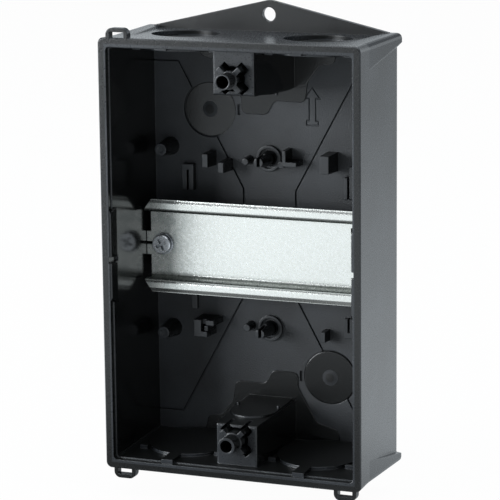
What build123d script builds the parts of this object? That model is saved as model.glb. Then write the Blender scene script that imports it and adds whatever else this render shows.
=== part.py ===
from build123d import *
from math import cos, radians, sin, sqrt, tan
import os

# Open base of a small insulated wall box, one black plastic moulding, with a top-hat rail
# across it and the screw that holds the rail's left end. Millimetres.
# +Z is up as the box hangs on a wall. The rear face lies in the XZ plane, the open front
# looks along -Y, and the origin is the middle of the rear face. Distances called "level"
# are measured from the rear face towards the open front.

# Box, measured over the front rim
rim_width = 100.0
rim_height = 160.0
box_depth = 44.0
side_draft = 1.4  # each side wall leans in by this much at the rear
end_draft = 1.0  # the top and bottom walls
outer_radius = 2.2
rim_edge = 0.4  # chamfer round its front

# Hollow of the box
floor_level = 3.0
side_wall = 3.5
end_wall = 3.7
inner_side_draft = 0.6
inner_end_draft = 1.9
inner_radius = 1.0
lead_in = 0.4
lead_in_depth = 2.4

# How deep the foot of an added feature is sunk in the wall it stands on
sink = 0.5

# Flares that carry the rear plate out to the four corners
flare_front_level = 34.0
flare_side_proud = 0.5
flare_rear_reach = (3.9, 3.3)  # along the end wall, down the side wall
flare_front_reach = (8.6, 9.0)
flare_rear_round = 1.8
flare_sunk = 1.6  # how far its inner edges lie in the walls
flare_step = 0.4
flare_fade = 0.02  # how far its front end has sunk in the walls
flare_turns = 3  # facets of its rounded edge

# Fixing lugs in the plane of the rear face
lug_thickness = 2.5
lug_rise = 10.7
lug_half_width = 46.0
lug_hole = 5.3
lug_hole_height = 5.4
lug_apex_radius = 4.0
lug_shoulder = 0.1  # how far its slanted edges end above the end wall
lug_foot = 3.0

# Seal eyelets on the front rim: side, distance of the middle from that side, end
eyelet_places = ((-1, 7.55, 1), (-1, 7.55, -1), (1, 6.1, -1))
eyelet_width = 8.5
eyelet_height = 3.5
eyelet_wall = 1.45
eyelet_depth = 3.0
eyelet_round = 2.4
eyelet_foot = 1.5  # how far its legs run down over the rim

# Cable knock-outs in the top and bottom walls: the smaller size sunk in the outer face,
# the larger one a raised disc on the inner face, with a rib in front of it and two lugs beside it
knockout_from_side = 24.3
knockout_diameter = 25.3
knockout_level = 19.5
knockout_recess = 2.2
knockout_disc = 32.0
knockout_disc_rise = 1.2
knockout_rib = (4.5, 8.0)  # width, length
knockout_rib_rises = ((1, 0.35), (-1, 1.3))  # low at the top wall
knockout_rib_level = 39.4
knockout_lug = (3.0, 1.5, 1.5)
knockout_lug_offset = 15.0
knockout_lug_level = 29.8

# Cover screw towers: end, middle, inner face at the front, sleeve diameter, length of the
# cross-shaped well, which breaks out of the bottom tower's edge
towers = (
    (1, 0.25, 60.2, 5.7, 13.0),
    (-1, 0.0, 60.6, 6.6, 14.0),
)
tower_half_front = 8.1
tower_half_rear = 9.9
tower_front_level = 38.3
tower_inner_lean = 1.4
tower_edge = ((0.8, 0.0), (0.25, 0.25), (0.0, 0.8))  # rounded edge: back from the front, inwards
tower_crown_level = 20.8
tower_crown_radius = 8.8
tower_crown_rise = 0.6
tower_stud_level = 16.5
tower_stud_offset = 8.0
tower_stud_radius = 0.65
tower_stud_rise = 0.9

# Screw sleeve of each tower, with its collar and fins in the well
sleeve_height = 66.3
sleeve_bore = 4.6
sleeve_bore_depth = 24.0
sleeve_proud = 4.6
collar_wall = 0.5
collar_level = 43.0
fin_width = 1.9
fin_length = 11.7
well_arm = 3.9
well_pocket = 8.9
well_depth = 6.0

# Tapered bosses beside the rail: distance from the side wall, height over the middle
boss_place = (6.3, 34.9)
boss_root_radius = 3.5
boss_tip_radius = 2.3
boss_height = 10.0
boss_dimple = 2.4
boss_dimple_depth = 0.3

# Split pins on their rings
ring_height = 32.2
ring_outer = 9.8
ring_inner = 7.6
ring_rise = 1.2
split_pin_root = 3.0
split_pin_tip = 1.75
split_pin_rise = 11.4
split_slot = 1.2
split_slot_depth = 6.0

# Rail, the standard 35 mm top-hat section, cut to length between the side walls
rail_width = 35.0
rail_rise = 7.5
rail_web_width = 27.0
rail_sheet = 1.0
rail_bend = 0.8
rail_seat_level = 11.5
rail_middle = -0.3  # height of its middle line
rail_gap_left = 1.9  # between its ends and the side walls
rail_gap_right = 2.35
rail_tongue_gap = 0.2  # between its tab or its ears and the side walls
rail_corner = (2.9, 4.1)
rail_tab_width = 8.8
rail_ear_width = 3.0
rail_ear_spacing = 15.0
rail_slit = 1.2
rail_screw_hole = 4.6

# Screw at the rail's left end
screw_from_end = 4.95
screw_height = -0.7
screw_shank = 3.6
screw_length = 7.5
screw_head = 7.4
screw_head_height = 2.6
screw_collar = 0.4
screw_collar_height = 0.6
screw_head_round = 0.35
screw_tip_chamfer = 0.6
screw_recess = 4.4
screw_recess_turn = 28
screw_recess_slot = 0.9
screw_recess_depth = 1.3
quarter_turn = 90
thread_clearance = 0.05
hole_end_gap = 0.5

# Seat of the rail and the nibs over its ears
seat_boss_radius = 5.0
seat_rib = (8.0, 2.0)  # length along the rail, width
seat_rib_from_end = 5.65  # its middle, measured from the rail's right end
seat_clearance = 0.15
nib_reach = 1.2
nib_width = 4.0
nib_height = 2.0

# Round pins: x, z, foot radius, tip radius, rise
small_pins = (
    (-7.8, 31.2, 1.7, 1.25, 5.0),
    (6.8, 30.8, 1.5, 1.3, 6.0),
    (-7.8, -31.8, 1.9, 1.3, 5.0),
)

# Posts and ribs: x, z, width, height along the wall, rise
floor_blocks = (
    (-22.5, 31.3, 2.2, 5.0, 8.4),
    (-15.8, 29.2, 2.1, 3.9, 9.3),
    (8.2, 33.4, 1.3, 5.8, 6.7),
    (10.9, 31.3, 4.2, 1.7, 6.7),
    (25.0, 32.3, 3.4, 6.6, 9.6),
    (22.7, -33.0, 1.6, 3.9, 5.4),
    (-26.1, -32.4, 2.9, 6.5, 9.0),
    (-21.1, -30.1, 3.2, 1.9, 9.0),
    (-23.6, -30.1, 2.6, 1.9, 7.0),
    (-23.2, -32.7, 1.4, 2.2, 7.6),
    (-23.6, -34.6, 2.6, 2.0, 9.0),
)
block_taper = 1.5  # degrees

# Guides beside the rail: distance from the side wall, z, width, height along the wall, rise.
# The slotted ones open towards the rail, the others are single ribs.
slotted_guides = (
    (-1, 14.0, 23.8, 4.6, 9.8, 2.7),
    (1, 14.2, -29.8, 3.6, 7.4, 2.2),
)
single_guides = (
    (-1, 15.6, -21.9, 2.3, 9.8, 1.6),
    (1, 15.1, 22.8, 1.3, 8.2, 2.7),
    (1, 12.8, 25.0, 1.7, 12.0, 2.7),
)
guide_slot = 0.8
guide_bridge = 2.2

# Raised pad of the floor round each tower, and the arrow that shows which way is up
pad_rise = 0.4
pad_radius = 2.4
pad_outline = (
    (27.6, 77.6),
    (25.6, 68.0),
    (20.0, 67.4),
    (15.3, 61.0),
    (14.2, 53.5),
    (2.2, 53.7),
    (-0.8, 48.4),
    (-10.8, 48.4),
    (-10.8, 54.0),
    (-14.4, 60.4),
    (-18.4, 67.2),
    (-27.0, 69.6),
    (-27.8, 77.6),
)
arrow_place = (17.1, 52.1)
arrow_line = 0.4
arrow_depth = 0.35
arrow_outline = (
    (0, 7.0),
    (2.9, 3.1),
    (1.25, 3.1),
    (1.25, -5.2),
    (2.3, -5.2),
    (2.3, -6.9),
    (-2.3, -6.9),
    (-2.3, -5.2),
    (-1.25, -5.2),
    (-1.25, 3.1),
    (-2.9, 3.1),
)

# Wedge ribs that close the lead-in step beside the rail, each with a notch: side, bottom, top,
# bottom and top of the notch
ledges = (
    (-1, -17.8, 17.6, -2.8, -0.5),
    (1, -17.3, 15.5, -2.3, 0.3),
)
ledge_levels = (40.6, 43.5)
ledge_proud = (1.3, 0.1)  # at its back and at its front
ledge_slant = 2.0  # how far its ends fall back over its thickness
notch_depth = 6.5
notch_reach = 0.9  # how far the notch is cut in the wall

# Knock-out discs and thin lines in the floor
disc_place = (-23.5, 49.5)
disc_radius = 10.3
disc_line = 0.3
disc_line_depth = 0.15
button_radius = 2.8
button_rise = 0.5
groove = 0.55
groove_depth = 0.8
panel_half = 10.4
panel_corner = 20.3
panel_end = (9.9, 67.2)  # distance from the side wall, height
panel_round = 1.2
pad_slot = (-12.0, 49.8)
pad_slot_size = (0.9, 3.9)


def level(distance):
    """Plane parallel to the rear face, seen from the open front."""
    return Plane.XZ.offset(distance)


def outer_half(distance):
    share = distance / box_depth
    return (
        rim_width / 2 - side_draft * (1 - share),
        rim_height / 2 - end_draft * (1 - share),
    )


def inner_half(distance):
    share = (distance - floor_level) / (box_depth - floor_level)
    return (
        rim_width / 2 - side_wall - inner_side_draft * (1 - share),
        rim_height / 2 - end_wall - inner_end_draft * (1 - share),
    )


floor_half = inner_half(floor_level)[0]
seat_half = inner_half(rail_seat_level)[0]
rail_left = rail_gap_left - seat_half
rail_right = seat_half - rail_gap_right
screw_place = (rail_left + screw_from_end, screw_height)
boss_x = floor_half - boss_place[0]


def mirrored(points, side, end):
    return [(side * x, end * z) for x, z in points]


def flare_outline(distance, reach, side_face, end_face, edge_round, lower):
    """Section of one corner flare, from the end wall round to the side wall."""
    wall_x, wall_z = outer_half(distance)
    drop = flare_step if lower else side_face - wall_x + flare_step
    turns = [radians(quarter_turn) * step / flare_turns for step in range(flare_turns + 1)]
    return [
        (wall_x - reach[0] - flare_sunk, wall_z - flare_sunk),
        (wall_x - reach[0] - flare_sunk, wall_z - flare_step),
        (wall_x - reach[0], end_face),
        *[
            (side_face - edge_round * (1 - sin(turn)), end_face - edge_round * (1 - cos(turn)))
            for turn in turns
        ],
        (side_face, end_face - reach[1]),
        (wall_x - flare_step, end_face - reach[1] - drop),
        (wall_x - flare_sunk, end_face - reach[1] - drop),
    ]


def bypass_points():
    """Where the slanted line of the floor panel meets the rim of the disc."""
    start = Vector(panel_end[0] - floor_half, panel_end[1])
    end = Vector(-panel_half, panel_corner)
    run = (end - start).normalized()
    centre = Vector(*disc_place)
    foot = start + run * (centre - start).dot(run)
    offset = centre - foot
    reach = sqrt(disc_radius**2 - offset.length**2)
    far = centre - offset.normalized() * disc_radius
    return foot - run * reach, far, foot + run * reach


def ledge_outline(proud, slant, bottom, top, notch_bottom, notch_top):
    """Section of a wedge rib beside the rail, seen from the open front."""
    wall_x = inner_half(ledge_levels[0])[0]
    outer = wall_x + lead_in + sink
    return [
        (outer, bottom),
        (wall_x - proud, bottom + slant),
        (wall_x - proud, notch_bottom),
        (wall_x, notch_bottom),
        (wall_x, notch_top),
        (wall_x - proud, notch_top),
        (wall_x - proud, top - slant),
        (outer, top),
    ]


with BuildPart() as enclosure_base:
    # Drafted outer shell, chamfered round its rim
    shell_front = box_depth - rim_edge
    for stretch in (((0, 0), (shell_front, 0)), ((shell_front, 0), (box_depth, rim_edge))):
        for distance, inset in stretch:
            half_x, half_z = outer_half(distance)
            with BuildSketch(level(distance)):
                RectangleRounded(2 * (half_x - inset), 2 * (half_z - inset), outer_radius - inset)
        loft(ruled=True)

    # Corner flares
    for side in (-1, 1):
        for end in (-1, 1):
            rear_x = rim_width / 2 + flare_side_proud
            rear = flare_outline(0, flare_rear_reach, rear_x, rim_height / 2, flare_rear_round, end < 0)
            front_x, front_z = outer_half(flare_front_level)
            front_x -= flare_fade
            front_z -= flare_fade
            front = flare_outline(
                flare_front_level, flare_front_reach, front_x, front_z, outer_radius, end < 0
            )
            with BuildSketch(level(0)):
                Polygon(*mirrored(rear, side, end), align=None)
            with BuildSketch(level(flare_front_level)):
                Polygon(*mirrored(front, side, end), align=None)
            loft(ruled=True)

    # Fixing lugs at the top and the bottom
    for end in (1, -1):
        shoulder = end * (rim_height / 2 + lug_shoulder)
        foot = end * (rim_height / 2 - lug_foot)
        with BuildSketch(level(0)):
            with BuildLine():
                FilletPolyline(
                    (-lug_half_width, shoulder),
                    (0, end * (rim_height / 2 + lug_rise)),
                    (lug_half_width, shoulder),
                    radius=lug_apex_radius,
                )
                Polyline(
                    (lug_half_width, shoulder),
                    (lug_half_width, foot),
                    (-lug_half_width, foot),
                    (-lug_half_width, shoulder),
                )
            make_face()
            with Locations((0, end * (rim_height / 2 + lug_hole_height))):
                Circle(lug_hole / 2, mode=Mode.SUBTRACT)
        extrude(amount=lug_thickness)

    # Hollow with its lead-in step at the rim
    for distance in (floor_level, box_depth):
        half_x, half_z = inner_half(distance)
        with BuildSketch(level(distance)):
            RectangleRounded(2 * half_x, 2 * half_z, inner_radius)
    loft(ruled=True, mode=Mode.SUBTRACT)
    half_x, half_z = inner_half(box_depth)
    with BuildSketch(level(box_depth - lead_in_depth)):
        RectangleRounded(2 * (half_x + lead_in), 2 * (half_z + lead_in), inner_radius + lead_in)
    extrude(amount=lead_in_depth, mode=Mode.SUBTRACT)

    # Wedge ribs at mid height of the rim, each with its notch
    for side, bottom, top, notch_bottom, notch_top in ledges:
        for distance, proud, slant in (
            (ledge_levels[0], ledge_proud[0], 0),
            (ledge_levels[1], ledge_proud[1], ledge_slant),
        ):
            outline = ledge_outline(proud, slant, bottom, top, notch_bottom, notch_top)
            with BuildSketch(level(distance)):
                Polygon(*mirrored(outline, side, 1), align=None)
        loft(ruled=True)
        notch_wall = side * inner_half(box_depth - notch_depth)[0]
        with BuildSketch(level(box_depth - notch_depth)):
            with Locations((notch_wall, (notch_bottom + notch_top) / 2)):
                Rectangle(2 * notch_reach, notch_top - notch_bottom)
        extrude(amount=notch_depth, mode=Mode.SUBTRACT)

    # Seal eyelets: small arches standing on the rim
    for side, from_side, end in eyelet_places:
        x = side * (rim_width / 2 - from_side)
        foot = rim_height / 2 - eyelet_foot
        arch = eyelet_height + eyelet_foot
        with BuildSketch(level(box_depth - eyelet_depth)) as eyelet:
            with Locations((x, end * (foot + arch / 2))):
                Rectangle(eyelet_width, arch)
            fillet(eyelet.vertices().sort_by(Axis.Y, reverse=end > 0)[:2], eyelet_round)
            with Locations((x, end * (foot + (arch - eyelet_wall) / 2))):
                Rectangle(eyelet_width - 2 * eyelet_wall, arch - eyelet_wall, mode=Mode.SUBTRACT)
        extrude(amount=eyelet_depth)

    # Closed cable knock-outs, sunk outside and raised inside where the next size breaks out
    outside_z = outer_half(knockout_level)[1]
    inside_z = inner_half(knockout_level)[1]
    lean = inner_end_draft / (box_depth - floor_level)
    knockout_spacing = rim_width - 2 * knockout_from_side
    for end, rib_rise in knockout_rib_rises:
        recess = Plane(
            origin=(0, -knockout_level, end * (outside_z - knockout_recess)),
            x_dir=(1, 0, 0),
            z_dir=(0, 0, end),
        )
        with BuildSketch(recess):
            with GridLocations(knockout_spacing, 0, 2, 1):
                Circle(knockout_diameter / 2)
        extrude(amount=2 * knockout_recess, mode=Mode.SUBTRACT)
        inside = Plane(
            origin=(0, -knockout_level, end * inside_z),
            x_dir=(1, 0, 0),
            z_dir=(0, -lean, -end),
        ).offset(-sink)
        with BuildSketch(inside):
            with GridLocations(knockout_spacing, 0, 2, 1):
                Circle(knockout_disc / 2)
        extrude(amount=knockout_disc_rise + sink)
        with BuildSketch(inside):
            with Locations((0, end * (knockout_rib_level - knockout_level))):
                with GridLocations(knockout_spacing, 0, 2, 1):
                    Rectangle(knockout_rib[0], knockout_rib[1])
        extrude(amount=rib_rise + sink)
        with BuildSketch(inside):
            for x in (-knockout_spacing / 2, knockout_spacing / 2):
                with Locations((x, end * (knockout_lug_level - knockout_level))):
                    with GridLocations(2 * knockout_lug_offset, 0, 2, 1):
                        Rectangle(knockout_lug[0], knockout_lug[1])
        extrude(amount=knockout_lug[2] + sink)

    # Cover screw towers with rounded front edges. The well is cut first, then the finned sleeve
    # stands in it.
    tower_root_level = floor_level - sink
    tower_lean = tower_inner_lean / (tower_front_level - tower_root_level)
    wall_middle = (rim_height - end_wall) / 2
    for end, middle, inner_front, sleeve_diameter, well_length in towers:
        sections = [(tower_root_level, tower_half_rear, inner_front - tower_inner_lean)]
        for back, inset in tower_edge:
            sections.append((tower_front_level - back, tower_half_front - inset, inner_front + inset))
        for stretch in zip(sections, sections[1:]):
            for distance, half, inner in stretch:
                with BuildSketch(level(distance)):
                    with Locations((middle, end * (inner + wall_middle) / 2)):
                        Rectangle(2 * half, wall_middle - inner)
            loft(ruled=True)
        with BuildSketch(level(tower_front_level)):
            with Locations((middle, end * sleeve_height)):
                Circle(well_pocket / 2)
                for turn in (quarter_turn / 2, -quarter_turn / 2):
                    Rectangle(well_length, well_arm, rotation=turn)
        extrude(amount=-well_depth, mode=Mode.SUBTRACT)
        well_floor = tower_front_level - well_depth - sink
        with BuildSketch(level(well_floor)):
            with Locations((middle, end * sleeve_height)):
                Circle(sleeve_diameter / 2)
        extrude(amount=box_depth + sleeve_proud - well_floor)
        with BuildSketch(level(well_floor)):
            with Locations((middle, end * sleeve_height)):
                Circle(sleeve_diameter / 2 + collar_wall)
                for turn in (quarter_turn / 2, -quarter_turn / 2):
                    Rectangle(fin_length, fin_width, rotation=turn)
        extrude(amount=collar_level - well_floor)
        with BuildSketch(level(box_depth + sleeve_proud)):
            with Locations((middle, end * sleeve_height)):
                Circle(sleeve_bore / 2)
        extrude(amount=-sleeve_bore_depth, mode=Mode.SUBTRACT)

        # Low crown with an arched front on the face that looks at the rail, and two studs on it
        face = Plane(
            origin=(middle, -tower_front_level, end * inner_front),
            x_dir=(1, 0, 0),
            z_dir=(0, -tower_lean, -end),
        ).offset(-sink)
        with BuildSketch(face):
            with Locations((0, end * (tower_crown_level - tower_front_level))):
                Circle(tower_crown_radius)
            with Locations((0, end * ((tower_crown_level + floor_level) / 2 - tower_front_level))):
                Rectangle(2 * tower_crown_radius, tower_crown_level - floor_level)
        extrude(amount=tower_crown_rise + sink)
        with BuildSketch(face):
            with Locations((0, end * (tower_stud_level - tower_front_level))):
                with GridLocations(2 * tower_stud_offset, 0, 2, 1):
                    Circle(tower_stud_radius)
        extrude(amount=tower_crown_rise + tower_stud_rise + sink)

    # Round pins on the floor, thinner at their free ends
    tapered_pins = [
        (side * boss_x, end * boss_place[1], boss_root_radius, boss_tip_radius, boss_height)
        for side in (-1, 1)
        for end in (-1, 1)
    ]
    tapered_pins += [
        (0, end * ring_height, split_pin_root, split_pin_tip, split_pin_rise) for end in (-1, 1)
    ]
    tapered_pins += small_pins
    for x, z, foot_radius, tip_radius, rise in tapered_pins:
        pin_axis = Plane(origin=(x, 0, z), x_dir=(1, 0, 0), z_dir=(0, 0, 1))
        with BuildSketch(pin_axis):
            with BuildLine():
                Line((0, sink - floor_level), (foot_radius, sink - floor_level))
                Bezier(
                    (foot_radius, sink - floor_level),
                    ((foot_radius + tip_radius) / 2, (sink - rise) / 2 - floor_level),
                    (tip_radius, -floor_level - rise),
                )
                Polyline(
                    (tip_radius, -floor_level - rise),
                    (0, -floor_level - rise),
                    (0, sink - floor_level),
                )
            make_face()
        revolve(axis=Axis(pin_axis.origin, (0, 1, 0)))

    # Dimple in each boss, and the slot across each split pin with its ring
    with BuildSketch(level(floor_level + boss_height)):
        with GridLocations(2 * boss_x, 2 * boss_place[1], 2, 2):
            Circle(boss_dimple / 2)
    extrude(amount=-boss_dimple_depth, mode=Mode.SUBTRACT)
    with BuildSketch(level(floor_level - sink)):
        with GridLocations(0, 2 * ring_height, 1, 2):
            Circle(ring_outer / 2)
            Circle(ring_inner / 2, mode=Mode.SUBTRACT)
    extrude(amount=ring_rise + sink)
    with BuildSketch(level(floor_level + split_pin_rise)):
        with GridLocations(0, 2 * ring_height, 1, 2):
            Rectangle(split_slot, 4 * split_pin_tip)
    extrude(amount=-split_slot_depth, mode=Mode.SUBTRACT)

    # Posts and hooks on the floor, wider at their feet
    for x, z, size_x, size_z, rise in floor_blocks:
        spread = 2 * (rise + sink) * tan(radians(block_taper))
        with BuildSketch(level(floor_level - sink)):
            with Locations((x, z)):
                Rectangle(size_x + spread, size_z + spread)
        extrude(amount=rise + sink, taper=block_taper)

    # Guides beside the rail
    for side, from_wall, z, size_x, size_z, rise in slotted_guides:
        toward_rail = -1 if z > 0 else 1
        x = side * (floor_half - from_wall)
        with BuildSketch(level(floor_level - sink)):
            with Locations((x, z)):
                Rectangle(size_x, size_z)
            with Locations((x, z + toward_rail * guide_bridge)):
                Rectangle(guide_slot, size_z, mode=Mode.SUBTRACT)
        extrude(amount=rise + sink)
    for side, from_wall, z, size_x, size_z, rise in single_guides:
        with BuildSketch(level(floor_level - sink)):
            with Locations((side * (floor_half - from_wall), z)):
                Rectangle(size_x, size_z)
        extrude(amount=rise + sink)

    # Raised pads round the towers, half a turn apart, and the arrow
    for turn in (1, -1):
        with BuildSketch(level(floor_level - sink)):
            with BuildLine():
                FilletPolyline(*mirrored(pad_outline, turn, turn), close=True, radius=pad_radius)
            make_face()
        extrude(amount=pad_rise + sink)
    with BuildSketch(level(floor_level)):
        with BuildLine():
            Polyline(*[(arrow_place[0] + x, arrow_place[1] + z) for x, z in arrow_outline], close=True)
        trace(line_width=arrow_line)
    extrude(amount=-arrow_depth, mode=Mode.SUBTRACT)

    # Lines moulded into the floor: two panels, half a turn apart, round the discs
    into, far, out = bypass_points()
    for turn in (1, -1):
        with BuildSketch(level(floor_level)):
            with BuildLine():
                FilletPolyline(
                    (-turn * floor_half, turn * panel_end[1]),
                    (turn * (panel_end[0] - floor_half), turn * panel_end[1]),
                    (turn * into.X, turn * into.Y),
                    radius=panel_round,
                )
                ThreePointArc(
                    (turn * into.X, turn * into.Y),
                    (turn * far.X, turn * far.Y),
                    (turn * out.X, turn * out.Y),
                )
                Polyline(
                    (turn * out.X, turn * out.Y),
                    (-turn * panel_half, turn * panel_corner),
                    (-turn * panel_half, -turn * panel_corner),
                    (turn * (panel_end[0] - floor_half), -turn * panel_end[1]),
                    (-turn * floor_half, -turn * panel_end[1]),
                )
            trace(line_width=groove)
        extrude(amount=-groove_depth, mode=Mode.SUBTRACT)
        with BuildSketch(level(floor_level)):
            with Locations((turn * disc_place[0], turn * disc_place[1])):
                Circle(disc_radius)
                Circle(disc_radius - disc_line, mode=Mode.SUBTRACT)
        extrude(amount=-disc_line_depth, mode=Mode.SUBTRACT)
        with BuildSketch(level(floor_level + pad_rise)):
            with Locations((turn * pad_slot[0], turn * pad_slot[1])):
                Rectangle(pad_slot_size[0], pad_slot_size[1])
        extrude(amount=-groove_depth - pad_rise, mode=Mode.SUBTRACT)
        button_axis = Plane(
            origin=(turn * disc_place[0], 0, turn * disc_place[1]), x_dir=(1, 0, 0), z_dir=(0, 0, 1)
        )
        with BuildSketch(button_axis):
            with BuildLine():
                Polyline(
                    (0, -floor_level - button_rise),
                    (0, sink - floor_level),
                    (button_radius, sink - floor_level),
                    (button_radius, -floor_level),
                )
                Bezier(
                    (button_radius, -floor_level),
                    (button_radius / 2, -floor_level - button_rise),
                    (0, -floor_level - button_rise),
                )
            make_face()
        revolve(axis=Axis(button_axis.origin, (0, 1, 0)))

    # Seat of the rail: a bored boss on the left, two ribs on the right
    with BuildSketch(level(floor_level - sink)):
        with Locations(screw_place):
            Circle(seat_boss_radius)
        with Locations((rail_right - seat_rib_from_end, rail_middle)):
            with GridLocations(0, rail_ear_spacing, 1, 2):
                Rectangle(seat_rib[0], seat_rib[1])
    extrude(amount=rail_seat_level - floor_level + sink)
    with BuildSketch(level(rail_seat_level)):
        with Locations(screw_place):
            Circle(screw_shank / 2 + thread_clearance)
    extrude(amount=-(screw_length - rail_sheet + hole_end_gap), mode=Mode.SUBTRACT)

    # Nibs on the right wall that hold the rail's ears down
    nib_level = rail_seat_level + rail_sheet + seat_clearance
    nib_wall = inner_half(nib_level)[0]
    with BuildSketch(level(nib_level)):
        with Locations((nib_wall + (sink - nib_reach) / 2, rail_middle)):
            with GridLocations(0, rail_ear_spacing, 1, 2):
                Rectangle(nib_reach + sink, nib_width)
    extrude(amount=nib_height)

enclosure_base.part.label = "enclosure_base"


with BuildPart() as mounting_rail:
    # Top-hat section, drawn across the rail and pushed along it
    web = rail_web_width / 2
    lip = rail_width / 2
    front_level = rail_seat_level + rail_rise
    web_line = rail_seat_level + rail_sheet / 2
    lip_line = front_level - rail_sheet / 2
    section = Plane(origin=(rail_left, 0, rail_middle), x_dir=(0, -1, 0), z_dir=(1, 0, 0))
    with BuildSketch(section):
        with BuildLine():
            FilletPolyline(
                (lip_line, -lip),
                (lip_line, -web + rail_sheet / 2),
                (web_line, -web + rail_sheet / 2),
                (web_line, web - rail_sheet / 2),
                (lip_line, web - rail_sheet / 2),
                (lip_line, lip),
                radius=rail_bend + rail_sheet / 2,
            )
        trace(line_width=rail_sheet)
    extrude(amount=rail_right - rail_left)

    # Cut corners of the lips
    corner_cut, corner_height = rail_corner
    rail_centre = (rail_left + rail_right) / 2
    half_length = (rail_right - rail_left) / 2
    with BuildSketch(level(front_level - 2 * rail_sheet)):
        with Locations((rail_centre, rail_middle)):
            for side in (-1, 1):
                for end in (-1, 1):
                    cut = [
                        (half_length - corner_cut, lip + sink),
                        (half_length + sink, lip + sink),
                        (half_length + sink, lip - corner_height),
                        (half_length, lip - corner_height),
                        (half_length - corner_cut, lip),
                    ]
                    Polygon(*mirrored(cut, side, end), align=None)
    extrude(amount=3 * rail_sheet, mode=Mode.SUBTRACT)

    # Tab at the screw end and ears at the other end, then the slit and the screw hole
    tab_end = rail_tongue_gap - seat_half
    ear_end = seat_half - rail_tongue_gap
    with BuildSketch(level(rail_seat_level)):
        with Locations(((tab_end + rail_left + sink) / 2, screw_height)):
            Rectangle(rail_left + sink - tab_end, rail_tab_width)
        with Locations(((ear_end + rail_right - sink) / 2, rail_middle)):
            with GridLocations(0, rail_ear_spacing, 1, 2):
                Rectangle(ear_end - rail_right + sink, rail_ear_width)
    extrude(amount=rail_sheet)
    slit_end = tab_end - sink
    with BuildSketch(level(rail_seat_level)):
        with Locations(screw_place):
            Circle(rail_screw_hole / 2)
        with Locations(((slit_end + screw_place[0]) / 2, screw_height)):
            Rectangle(screw_place[0] - slit_end, rail_slit)
    extrude(amount=rail_sheet, mode=Mode.SUBTRACT)

mounting_rail.part.label = "mounting_rail"


with BuildPart() as rail_screw:
    # Head with its collar and shank as one turned profile, then the cross recess
    under_head = rail_seat_level + rail_sheet
    collar_top = under_head + screw_collar_height
    head_top = under_head + screw_head_height
    screw_end = under_head - screw_length
    axis_plane = Plane(origin=(screw_place[0], 0, screw_place[1]), x_dir=(1, 0, 0), z_dir=(0, 0, 1))
    with BuildSketch(axis_plane):
        with BuildLine():
            Polyline(
                (0, -head_top),
                (screw_head / 2 - screw_head_round, -head_top),
                (screw_head / 2, screw_head_round - head_top),
                (screw_head / 2, -collar_top),
                (screw_head / 2 + screw_collar, -collar_top),
                (screw_head / 2 + screw_collar, -under_head),
                (screw_shank / 2, -under_head),
                (screw_shank / 2, -screw_end - screw_tip_chamfer),
                (screw_shank / 2 - screw_tip_chamfer, -screw_end),
                (0, -screw_end),
                close=True,
            )
        make_face()
    revolve(axis=Axis(axis_plane.origin, (0, 1, 0)))
    with BuildSketch(level(head_top)):
        with Locations(screw_place):
            for turn in (screw_recess_turn, screw_recess_turn + quarter_turn):
                Rectangle(screw_recess, screw_recess_slot, rotation=turn)
    extrude(amount=-screw_recess_depth, mode=Mode.SUBTRACT)

rail_screw.part.label = "rail_screw"

os.makedirs("parts", exist_ok=True)
for piece in (enclosure_base, mounting_rail, rail_screw):
    export_step(piece.part, f"parts/{piece.part.label}.step")
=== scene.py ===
import bpy
from mathutils import Matrix, Vector


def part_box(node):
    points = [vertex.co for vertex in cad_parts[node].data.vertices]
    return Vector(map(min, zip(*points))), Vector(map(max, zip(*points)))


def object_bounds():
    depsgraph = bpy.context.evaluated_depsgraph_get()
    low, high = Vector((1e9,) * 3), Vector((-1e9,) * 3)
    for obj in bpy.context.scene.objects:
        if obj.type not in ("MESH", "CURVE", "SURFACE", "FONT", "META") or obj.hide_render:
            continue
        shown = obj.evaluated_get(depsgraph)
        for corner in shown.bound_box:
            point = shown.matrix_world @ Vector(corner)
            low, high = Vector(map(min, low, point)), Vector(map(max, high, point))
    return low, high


# Looks of a wall box's open base: one black moulding, a zinc plated rail and its screw.
# The solids stay as they come; this file gives them their finishes, the light and the camera.
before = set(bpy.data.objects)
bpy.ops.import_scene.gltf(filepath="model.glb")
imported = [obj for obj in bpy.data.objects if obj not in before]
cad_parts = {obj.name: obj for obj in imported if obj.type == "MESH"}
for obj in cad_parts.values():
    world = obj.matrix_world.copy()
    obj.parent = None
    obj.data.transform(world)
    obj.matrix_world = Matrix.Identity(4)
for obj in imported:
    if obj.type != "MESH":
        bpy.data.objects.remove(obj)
cad_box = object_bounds()
scene = bpy.context.scene
MM = 0.001

# Places on the moulding, whose rear face lies at y 0 and whose open front looks along -Y.
# The hollow's limits lie within the thickness of the walls, save where the knock-outs are sunk.
RIM_WIDTH = 100 * MM
RIM_HEIGHT = 160 * MM
HOLLOW_SIDE = RIM_WIDTH / 2 - 2.4 * MM
HOLLOW_END = RIM_HEIGHT / 2 - 2.2 * MM
PANEL = -3.0 * MM
PAD = PANEL - 0.4 * MM
PAD_BAND = 0.1 * MM  # how far off it a face still counts as a pad
PANEL_LIMIT = (PANEL + PAD) / 2
REAR_LIMIT = PANEL / 3  # what lies behind it is the rear face
RIM_LIMIT = -30 * MM  # what lies in front of it is the rim
DISC_PLACE = (-23.5 * MM, 0, 49.5 * MM)
DISC_RADIUS = 10.2 * MM
BUTTON_RADIUS = 3.0 * MM

# Places on the rail, from the frame: its middle line, the edge of its lips measured from there,
# and the screw's side, up to which the rail is given painted shade; with the sizes of what is drawn at
# them.
rail_low, rail_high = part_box("mounting_rail")
RAIL_MIDDLE = (rail_low.z + rail_high.z) / 2
LIP_EDGE = (rail_high.z - rail_low.z) / 2
LIP_EASED_WIDTH = 1.6 * MM
LIP_DROP = 0.45 * MM
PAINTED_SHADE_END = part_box("rail_screw")[1].x
PAINTED_SHADE_FADE = 8 * MM

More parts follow.
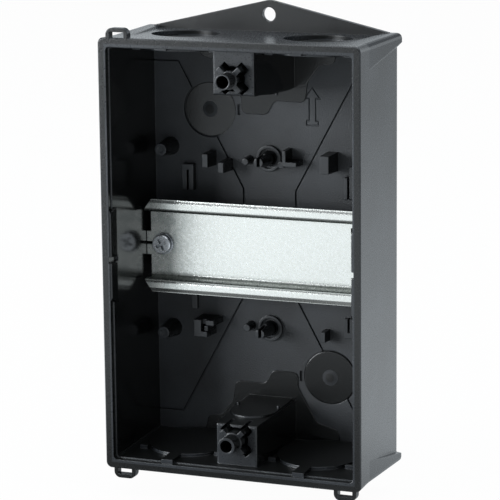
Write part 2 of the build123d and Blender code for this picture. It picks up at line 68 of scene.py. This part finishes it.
# The studio is plain white to the camera; what it reflects and lights has a cool cast
WHITE = "#ffffff"
COOL_WHITE = "#f2faff"
UPPER_GREY = "#6a6f73"


def linear(hex_colour):
    """An sRGB hex colour as linear RGBA."""
    values = [int(hex_colour[i : i + 2], 16) / 255 for i in (1, 3, 5)]
    return [v / 12.92 if v <= 0.04045 else ((v + 0.055) / 1.055) ** 2.4 for v in values] + [1.0]


def add(tree, kind, inputs=None, **settings):
    """One node. Inputs are given by name or number, as a value, a socket, or a node whose first
    output is meant. By number, Map Range takes 0 from the range 1 to 2 into the range 3 to 4,
    which is 0 to 1 where it isn't given, and Mix goes from 2 to 3, or with colours from 6 to 7,
    as 0 goes from 0 to 1."""
    node = tree.nodes.new(kind)
    for name, value in settings.items():
        setattr(node, name, value)
    for name, value in (inputs or {}).items():
        if isinstance(value, bpy.types.Node):
            value = value.outputs[0]
        if isinstance(value, bpy.types.NodeSocket):
            tree.links.new(value, node.inputs[name])
        else:
            node.inputs[name].default_value = value
    return node


def new_material(name):
    material = bpy.data.materials.new(name)
    material.use_nodes = True
    material.node_tree.nodes.clear()
    return material, material.node_tree


def moulding_regions(tree, place, normal):
    """Masks of 0 to 1 for the parts of the moulding that were finished differently in the mould; some
    of them also choose the faces that are given painted shade.
    """
    at = add(tree, "ShaderNodeSeparateXYZ", {0: place}).outputs
    facing = add(tree, "ShaderNodeSeparateXYZ", {0: normal}).outputs
    across = add(tree, "ShaderNodeMath", {0: at[0]}, operation="ABSOLUTE")
    upright = add(tree, "ShaderNodeMath", {0: at[2]}, operation="ABSOLUTE")
    tilt = add(tree, "ShaderNodeMath", {0: facing[2]}, operation="ABSOLUTE")

    # Which way a face looks: out of the open front, or up or down
    frontal = add(tree, "ShaderNodeMapRange", {0: facing[1], 1: -0.6, 2: -0.9})
    level = add(tree, "ShaderNodeMapRange", {0: tilt, 1: 0.6, 2: 0.9})

    # The hollow, and the rear panel at its bottom
    between_sides = add(tree, "ShaderNodeMath", {0: across, 1: HOLLOW_SIDE}, operation="LESS_THAN")
    between_ends = add(tree, "ShaderNodeMath", {0: upright, 1: HOLLOW_END}, operation="LESS_THAN")
    off_rear = add(tree, "ShaderNodeMath", {0: at[1], 1: REAR_LIMIT}, operation="LESS_THAN")
    inside = add(tree, "ShaderNodeMath", {0: between_sides, 1: between_ends}, operation="MULTIPLY")
    inside = add(tree, "ShaderNodeMath", {0: inside, 1: off_rear}, operation="MULTIPLY")
    on_rim = add(tree, "ShaderNodeMath", {0: at[1], 1: RIM_LIMIT}, operation="LESS_THAN")
    low = add(tree, "ShaderNodeMath", {0: at[1], 1: PANEL_LIMIT}, operation="GREATER_THAN")
    on_panel = add(tree, "ShaderNodeMath", {0: low, 1: inside}, operation="MULTIPLY")

    # The raised pads, and the upper disc; the lower disc is given half a turn to lie on it
    on_pad = add(tree, "ShaderNodeMath", {0: at[1], 1: PAD, 2: PAD_BAND}, operation="COMPARE")
    above_or_below = add(tree, "ShaderNodeMath", {0: at[2]}, operation="SIGN")
    turned = add(tree, "ShaderNodeMath", {0: at[0], 1: above_or_below}, operation="MULTIPLY")
    on_plane = add(tree, "ShaderNodeCombineXYZ", {0: turned, 2: upright})
    from_disc = add(
        tree, "ShaderNodeVectorMath", {0: on_plane, 1: DISC_PLACE}, operation="DISTANCE"
    ).outputs[1]
    ring_middle = (DISC_RADIUS + BUTTON_RADIUS) / 2
    ring_band = (DISC_RADIUS - BUTTON_RADIUS) / 2
    in_ring = add(
        tree, "ShaderNodeMath", {0: from_disc, 1: ring_middle, 2: ring_band}, operation="COMPARE"
    )
    on_ring = add(tree, "ShaderNodeMath", {0: in_ring, 1: on_panel}, operation="MULTIPLY")
    on_button = add(tree, "ShaderNodeMath", {0: from_disc, 1: BUTTON_RADIUS}, operation="LESS_THAN")
    smooth = add(tree, "ShaderNodeMath", {0: on_pad, 1: on_ring}, operation="MAXIMUM")
    eroded = add(tree, "ShaderNodeMath", {0: on_panel, 1: frontal}, operation="MULTIPLY")
    eroded = add(
        tree, "ShaderNodeMath", {0: eroded, 1: smooth}, operation="SUBTRACT", use_clamp=True
    )
    return {
        "frontal": frontal,
        "level": level,
        "inside": inside,
        "rim": on_rim,
        "panel": on_panel,
        "smooth": smooth,
        "button": on_button,
        "eroded": eroded,
    }


def moulding_colour(tree, place, region):
    """Charcoal with slow flow clouds. The smooth pads and disc rings are almost black; the same
    near-black is painted shade on the faces inside that don't look out of the front, and on the front
    faces of the rim and lugs.
    """
    cloud = add(tree, "ShaderNodeTexNoise", {"Vector": place, "Scale": 1 / (24 * MM), "Detail": 3.0})
    flow = add(tree, "ShaderNodeMapRange", {0: cloud, 1: 0.35, 2: 0.65})
    charcoal = add(
        tree,
        "ShaderNodeMix",
        {0: flow, 6: linear("#222427"), 7: linear("#33363a")},
        data_type="RGBA",
    ).outputs[2]
    # Painted shade: faces inside the hollow that don't look out of the front are made almost black
    walls = add(
        tree,
        "ShaderNodeMath",
        {0: region["inside"], 1: region["frontal"]},
        operation="SUBTRACT",
        use_clamp=True,
    )
    # Painted shade: the front faces of the rim and lugs are made almost black
    painted_shade_rim_and_lugs = add(
        tree,
        "ShaderNodeMath",
        {0: region["frontal"], 1: region["inside"]},
        operation="SUBTRACT",
        use_clamp=True,
    )
    # Near black for the smooth pads and discs, and as painted shade on the faces above
    polished_and_painted_shade = add(tree, "ShaderNodeMath", {0: walls, 1: region["smooth"]}, operation="MAXIMUM")
    polished_and_painted_shade = add(tree, "ShaderNodeMath", {0: polished_and_painted_shade, 1: painted_shade_rim_and_lugs}, operation="MAXIMUM")
    return add(
        tree, "ShaderNodeMix", {0: polished_and_painted_shade, 6: charcoal, 7: linear("#101111")}, data_type="RGBA"
    ).outputs[2]


def moulding_roughness(tree, grain, region):
    """Rough where the mould was eroded, glossy where it was polished."""
    front = add(tree, "ShaderNodeMix", {0: region["panel"], 2: 0.33, 3: 0.54})
    front = add(tree, "ShaderNodeMix", {0: region["rim"], 2: front, 3: 0.28})
    front = add(tree, "ShaderNodeMix", {0: region["smooth"], 2: front, 3: 0.2})
    front = add(tree, "ShaderNodeMix", {0: region["button"], 2: front, 3: 0.75})
    inner = add(tree, "ShaderNodeMix", {0: region["level"], 2: 0.17, 3: 0.36})
    side = add(tree, "ShaderNodeMix", {0: region["inside"], 2: 0.27, 3: inner})
    rough = add(tree, "ShaderNodeMix", {0: region["frontal"], 2: side, 3: front})
    even = add(tree, "ShaderNodeMapRange", {0: grain, 1: 0.3, 2: 0.7, 3: 0.96, 4: 1.04})
    uneven = add(tree, "ShaderNodeMapRange", {0: grain, 1: 0.3, 2: 0.7, 3: 0.85, 4: 1.15})
    spread = add(tree, "ShaderNodeMix", {0: region["eroded"], 2: even, 3: uneven})
    return add(tree, "ShaderNodeMath", {0: rough, 1: spread}, operation="MULTIPLY")


def black_moulding():
    """Black polycarbonate, injection moulded. The rear panel is spark eroded, so it is grainy and
    dull; the pads and discs in it are smoother and look darker; the drafted walls inside are
    polished and mirror the rail; the rim, the lugs and the outside are satin. The walls inside and
    the front faces of the rim and lugs are also darkened to near black as painted shade."""
    material, tree = new_material("moulded_black_polycarbonate")
    coordinate = add(tree, "ShaderNodeTexCoord")
    place = coordinate.outputs["Object"]
    region = moulding_regions(tree, place, coordinate.outputs["Normal"])

    # Spark eroded grain, drawn coarser than its 0.1 mm so that it shows
    grain = add(tree, "ShaderNodeTexNoise", {"Vector": place, "Scale": 1 / (0.6 * MM), "Detail": 4.0})

    # Rounded edges of the moulding, then the grain, which is deepest on the eroded panel
    edges = add(tree, "ShaderNodeBevel", {"Radius": 0.4 * MM}, samples=8)
    depth = add(tree, "ShaderNodeMix", {0: region["frontal"], 2: 0.008, 3: 0.18})
    depth = add(tree, "ShaderNodeMix", {0: region["eroded"], 2: depth, 3: 0.4})
    bump = add(
        tree,
        "ShaderNodeBump",
        {"Height": grain, "Strength": depth, "Distance": 0.3 * MM, "Normal": edges},
    )
    shader = add(
        tree,
        "ShaderNodeBsdfPrincipled",
        {
            "Base Color": moulding_colour(tree, place, region),
            "Roughness": moulding_roughness(tree, grain, region),
            "IOR": 1.58,
            "Normal": bump,
        },
    )
    add(tree, "ShaderNodeOutputMaterial", {0: shader})
    return material


def sheet_colour(tree, at, facing, mottle, swirl):
    """Almost white zinc, with painted shade in cloudy blotches towards the screw and painted shade on
    the bent flanks.
    """
    speck = add(tree, "ShaderNodeMapRange", {0: mottle, 1: 0.3, 2: 0.7})
    pale = add(
        tree,
        "ShaderNodeMix",
        {0: speck, 6: linear("#eeefe9"), 7: linear("#fdfefa")},
        data_type="RGBA",
    ).outputs[2]
    # Painted shade: the sheet darkens in blotches towards the screw end
    fade_start = PAINTED_SHADE_END + PAINTED_SHADE_FADE
    near_screw = add(tree, "ShaderNodeMapRange", {0: at[0], 1: fade_start, 2: PAINTED_SHADE_END})
    blotch = add(tree, "ShaderNodeMapRange", {0: swirl, 1: 0.4, 2: 0.6, 3: 0.1, 4: 1.0})
    painted_shade_near_screw = add(tree, "ShaderNodeMath", {0: near_screw, 1: blotch}, operation="MULTIPLY")
    colour = add(
        tree, "ShaderNodeMix", {0: painted_shade_near_screw, 6: pale, 7: linear("#d6dad6")}, data_type="RGBA"
    ).outputs[2]
    # Painted shade: the flanks that face up or down are darkened
    tilt = add(tree, "ShaderNodeMath", {0: facing[2]}, operation="ABSOLUTE")
    painted_shade_flank = add(tree, "ShaderNodeMapRange", {0: tilt, 1: 0.3, 2: 0.7})
    return add(
        tree, "ShaderNodeMix", {0: painted_shade_flank, 6: colour, 7: linear("#8b908c")}, data_type="RGBA"
    ).outputs[2]


def zinc_sheet():
    """Cold rolled steel sheet, roll formed, with a bright zinc coat: pale with a fine mottle, with
    painted shade on the bent flanks and in cloudy blotches round the screw, and its lips eased back
    along their outer edges."""
    material, tree = new_material("zinc_plated_steel_sheet")
    coordinate = add(tree, "ShaderNodeTexCoord")
    place = coordinate.outputs["Object"]
    at = add(tree, "ShaderNodeSeparateXYZ", {0: place}).outputs
    facing = add(tree, "ShaderNodeSeparateXYZ", {0: coordinate.outputs["Normal"]}).outputs

    # The mottle is drawn coarser than zinc crystals are, so that it shows
    mottle = add(tree, "ShaderNodeTexNoise", {"Vector": place, "Scale": 1 / (0.8 * MM), "Detail": 5.0})
    swirl = add(
        tree,
        "ShaderNodeTexNoise",
        {"Vector": place, "Scale": 1 / (5 * MM), "Detail": 4.0, "Roughness": 0.6, "Distortion": 1.2},
    )
    rough = add(tree, "ShaderNodeMapRange", {0: mottle, 1: 0.3, 2: 0.7, 3: 0.31, 4: 0.25})

    # The lips' outer edges fall back a little over their last stretch
    from_middle = add(tree, "ShaderNodeMath", {0: at[2], 1: RAIL_MIDDLE}, operation="SUBTRACT")
    from_middle = add(tree, "ShaderNodeMath", {0: from_middle}, operation="ABSOLUTE")
    eased = add(
        tree,
        "ShaderNodeMapRange",
        {0: from_middle, 1: LIP_EDGE - LIP_EASED_WIDTH, 2: LIP_EDGE, 3: 0.0, 4: -LIP_DROP},
        interpolation_type="SMOOTHSTEP",
    )
    lip = add(tree, "ShaderNodeBump", {"Height": eased, "Strength": 1.0, "Distance": 1.0})
    bump = add(
        tree,
        "ShaderNodeBump",
        {"Height": mottle, "Strength": 0.12, "Distance": 0.02 * MM, "Normal": lip},
    )
    shader = add(
        tree,
        "ShaderNodeBsdfPrincipled",
        {
            "Base Color": sheet_colour(tree, at, facing, mottle, swirl),
            "Metallic": 1.0,
            "Roughness": rough,
            "Normal": bump,
        },
    )
    add(tree, "ShaderNodeOutputMaterial", {0: shader})
    return material


def zinc_screw():
    """Cold headed machine screw with a blue-white zinc coat, bright and slightly uneven; the walls of
    the recess and the head's flank, which turn away from the front, are darkened as painted shade."""
    material, tree = new_material("blue_zinc_plated_screw")
    coordinate = add(tree, "ShaderNodeTexCoord")
    place = coordinate.outputs["Object"]
    facing = add(tree, "ShaderNodeSeparateXYZ", {0: coordinate.outputs["Normal"]}).outputs
    marks = add(tree, "ShaderNodeTexNoise", {"Vector": place, "Scale": 1 / (0.8 * MM), "Detail": 3.0})
    bright = add(
        tree,
        "ShaderNodeMix",
        {0: marks, 6: linear("#e3e9f2"), 7: linear("#ffffff")},
        data_type="RGBA",
    ).outputs[2]
    # Painted shade: faces that turn away from the front are darkened
    painted_shade_flank = add(tree, "ShaderNodeMapRange", {0: facing[1], 1: -0.75, 2: -0.3})
    colour = add(
        tree, "ShaderNodeMix", {0: painted_shade_flank, 6: bright, 7: linear("#454a52")}, data_type="RGBA"
    ).outputs[2]
    rough = add(tree, "ShaderNodeMapRange", {0: marks, 1: 0.3, 2: 0.7, 3: 0.4, 4: 0.18})
    edges = add(tree, "ShaderNodeBevel", {"Radius": 0.2 * MM}, samples=6)
    bump = add(
        tree,
        "ShaderNodeBump",
        {"Height": marks, "Strength": 0.3, "Distance": 0.03 * MM, "Normal": edges},
    )
    shader = add(
        tree,
        "ShaderNodeBsdfPrincipled",
        {"Base Color": colour, "Metallic": 1.0, "Roughness": rough, "Normal": bump},
    )
    add(tree, "ShaderNodeOutputMaterial", {0: shader})
    return material


finishes = {
    "enclosure_base": black_moulding(),
    "mounting_rail": zinc_sheet(),
    "rail_screw": zinc_screw(),
}
for name, material in finishes.items():
    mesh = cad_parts[name].data
    mesh.materials.clear()
    mesh.materials.append(material)


def photo_camera():
    """The camera that was fitted to the rail and the rim of the photographed box."""
    data = bpy.data.cameras.new("camera")
    data.sensor_width = 36.0
    data.lens = 186.28
    data.clip_start = 0.01
    data.clip_end = 50.0
    place = Vector((0.34383, -0.88270, 0.18845))
    right = Vector((0.92914, 0.36958, -0.00989))
    up = Vector((-0.06419, 0.18762, 0.98014))
    back = Vector((0.3641, -0.91006, 0.19805))
    turn = Matrix((right, up, back)).transposed().to_4x4()
    camera = bpy.data.objects.new("camera", data)
    camera.matrix_world = Matrix.Translation(place) @ turn
    scene.collection.objects.link(camera)
    return camera


scene.camera = photo_camera()


def pale_floor(height):
    """Matt white floor. It is plain white to the camera; in reflections its glow is painted light,
    with a painted shadow in front of the box, where the box keeps the light from it, dimmer far away
    and a little brighter behind."""
    material, tree = new_material("matt_white_studio_floor")
    path = add(tree, "ShaderNodeLightPath").outputs
    to_camera = path["Is Camera Ray"]
    place = add(tree, "ShaderNodeTexCoord").outputs["Object"]
    at = add(tree, "ShaderNodeSeparateXYZ", {0: place}).outputs
    shaded_place = (-30 * MM, -100 * MM, height)
    away = add(
        tree, "ShaderNodeVectorMath", {0: place, 1: shaded_place}, operation="DISTANCE"
    ).outputs[1]
    # Painted shadow: the glow seen in reflections is dimmed round this place in front of the box
    painted_contact_shadow = add(tree, "ShaderNodeMapRange", {0: away, 1: 30 * MM, 2: 200 * MM, 3: 0.08, 4: 1.0})
    far = add(tree, "ShaderNodeMapRange", {0: away, 1: 300 * MM, 2: 1100 * MM, 3: 1.05, 4: 0.55})
    behind = add(
        tree, "ShaderNodeMapRange", {0: at[1], 1: -300 * MM, 2: 150 * MM, 3: 1.0, 4: 1.06}
    )
    mirrored = add(tree, "ShaderNodeMath", {0: painted_contact_shadow, 1: behind}, operation="MULTIPLY")
    mirrored = add(tree, "ShaderNodeMath", {0: mirrored, 1: far}, operation="MULTIPLY")
    strength = add(tree, "ShaderNodeMix", {0: to_camera, 2: mirrored, 3: 1.0})
    tint = add(
        tree,
        "ShaderNodeMix",
        {0: to_camera, 6: linear(COOL_WHITE), 7: linear(WHITE)},
        data_type="RGBA",
    ).outputs[2]

    # Seen or mirrored, the floor is almost all glow; to the light it scatters it is only matt
    seen = add(
        tree, "ShaderNodeMath", {0: to_camera, 1: path["Is Glossy Ray"]}, operation="MAXIMUM"
    )
    seen = add(
        tree, "ShaderNodeMath", {0: seen, 1: path["Is Transmission Ray"]}, operation="MAXIMUM"
    )
    share = add(tree, "ShaderNodeMath", {0: seen, 1: 0.97}, operation="MULTIPLY")
    matt = add(tree, "ShaderNodeBsdfDiffuse", {"Color": linear("#f4f4f4")})
    glow = add(tree, "ShaderNodeEmission", {"Color": tint, "Strength": strength})
    both = add(tree, "ShaderNodeMixShader", {0: share, 1: matt, 2: glow})
    add(tree, "ShaderNodeOutputMaterial", {0: both})
    return material


def studio_floor(height, reach):
    """A square floor, reach metres to each side of the box."""
    mesh = bpy.data.meshes.new("floor")
    corners = [(x * reach, y * reach, height) for x, y in ((-1, -1), (1, -1), (1, 1), (-1, 1))]
    mesh.from_pydata(corners, [], [(0, 1, 2, 3)])
    mesh.materials.append(pale_floor(height))
    floor = bpy.data.objects.new("floor", mesh)
    scene.collection.objects.link(floor)
    return floor


floor = studio_floor(height=cad_box[0].z, reach=6.0)


def studio_world():
    """White walls round the box, grey above and dimmer in front; plain white to the camera."""
    world = bpy.data.worlds.new("studio")
    world.use_nodes = True
    tree = world.node_tree
    tree.nodes.clear()
    way = add(tree, "ShaderNodeTexCoord").outputs["Generated"]
    along = add(tree, "ShaderNodeSeparateXYZ", {0: way}).outputs
    upward = add(tree, "ShaderNodeMapRange", {0: along[2], 1: 0.12, 2: 0.36})
    lit = add(tree, "ShaderNodeMapRange", {0: along[1], 1: -0.6, 2: 0.2, 3: 0.5, 4: 1.05})
    walls = add(
        tree,
        "ShaderNodeMix",
        {0: upward, 6: linear(COOL_WHITE), 7: linear(UPPER_GREY)},
        data_type="RGBA",
    ).outputs[2]
    to_camera = add(tree, "ShaderNodeLightPath").outputs["Is Camera Ray"]
    plain = add(tree, "ShaderNodeBackground", {"Color": linear(WHITE), "Strength": 1.0})
    soft = add(tree, "ShaderNodeBackground", {"Color": walls, "Strength": lit})
    both = add(tree, "ShaderNodeMixShader", {0: to_camera, 1: soft, 2: plain})
    add(tree, "ShaderNodeOutputWorld", {0: both})
    return world


scene.world = studio_world()


def softbox(name, place, size, power):
    """A soft lamp at a place in metres that looks at the middle of the box."""
    data = bpy.data.lights.new(name, "AREA")
    data.shape = "RECTANGLE"
    data.size, data.size_y = size
    data.energy = power
    data.color = linear("#f6fbff")[:3]
    lamp = bpy.data.objects.new(name, data)
    lamp.location = place
    lamp.rotation_mode = "QUATERNION"
    lamp.rotation_quaternion = (-Vector(place)).to_track_quat("-Z", "Y")
    scene.collection.objects.link(lamp)


softbox("softbox_above", (0.0, -0.1, 1.6), (2.4, 2.4), 28)
softbox("softbox_front_left", (-1.5, -1.35, 0.35), (1.2, 0.8), 37)

scene.view_settings.view_transform = "Standard"
